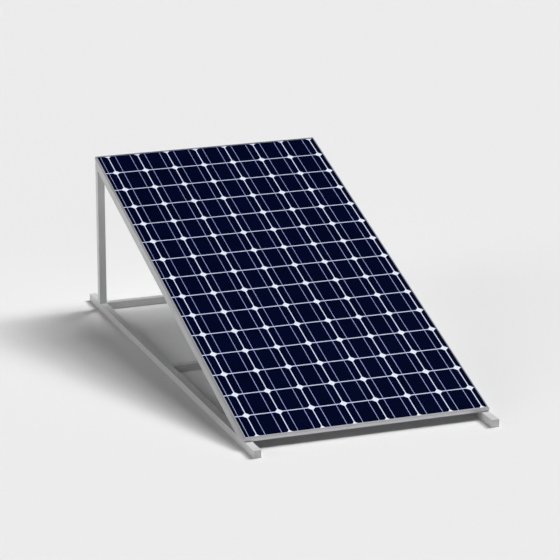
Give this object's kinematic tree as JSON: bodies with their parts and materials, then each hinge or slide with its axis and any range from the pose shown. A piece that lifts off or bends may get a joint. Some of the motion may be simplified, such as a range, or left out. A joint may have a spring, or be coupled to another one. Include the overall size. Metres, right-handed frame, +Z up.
{
  "type": "solar panel on a triangular stand",
  "caption": "Framed photovoltaic module fixed to a low triangular ground stand of square tube, with a lidded junction box under its upper end.",
  "frame": {"origin": "on the ground, midway between the two base rails and midway along them", "axes": "+Z up; -Y towards the low front edge, +Y towards the posts; +X across, to the right seen from the front"},
  "size_m": [0.99, 2.09, 0.6758],
  "materials": {
    "stand_metal": "satin",
    "frame_aluminium": "satin anodised",
    "cover_glass": "clear",
    "clear_film": "clear",
    "cell_silicon": "dark blue coating",
    "ribbon_metal": "tinned",
    "backsheet_white": "matt",
    "black_plastic": "matt",
    "grey_plastic": "matt",
    "seal_rubber": "matt",
    "silicone_grey": "matt",
    "fastener_steel": "satin",
    "terminal_brass": "satin"
  },
  "bodies": {
    "panel_and_stand": {"anchor_nuts": "fastener_steel", "backsheet": "backsheet_white", "base_rail_left": "stand_metal", "base_rail_right": "stand_metal", "bracket_screws": "fastener_steel", "bus_ribbons": "ribbon_metal", "bypass_diodes": "black_plastic", "cell_ribbons": "ribbon_metal", "cover_glass": "cover_glass", "cross_rail_cleats": "stand_metal", "cross_rail_middle": "stand_metal", "cross_rail_rear": "stand_metal", "edge_seal": "silicone_grey", "frame_corner_keys": "frame_aluminium", "frame_end_front": "frame_aluminium", "frame_end_rear": "frame_aluminium", "frame_side_left": "frame_aluminium", "frame_side_right": "frame_aluminium", "front_encapsulant": "clear_film", "front_joint_plates": "stand_metal", "gland_bodies": "black_plastic", "gland_lock_nuts": "black_plastic", "gland_nuts": "black_plastic", "gland_seals": "seal_rubber", "junction_box_adhesive": "silicone_grey", "junction_box_base": "black_plastic", "junction_box_gasket": "seal_rubber", "junction_box_hinge_pin": "fastener_steel", "module_bolts": "fastener_steel", "module_nuts": "fastener_steel", "module_washers": "fastener_steel", "post_bolts": "fastener_steel", "post_left": "stand_metal", "post_right": "stand_metal", "post_screws": "fastener_steel", "post_spigots": "frame_aluminium", "rail_end_caps": "grey_plastic", "rear_encapsulant": "clear_film", "rear_joint_plates": "stand_metal", "rivet_nuts": "fastener_steel", "slope_tube_caps": "grey_plastic", "slope_tube_left": "stand_metal", "slope_tube_right": "stand_metal", "solar_cells": "cell_silicon", "terminals": "terminal_brass"},
    "lid": {"junction_box_lid": "black_plastic"}
  },
  "joints": [
    {"name": "lid_hinge", "type": "hinge", "parent": "panel_and_stand", "child": "lid", "pos_m": [0, 0.75942, 0.58649], "axis": [1, 0, 0], "range_deg": [0, 110]}
  ]
}
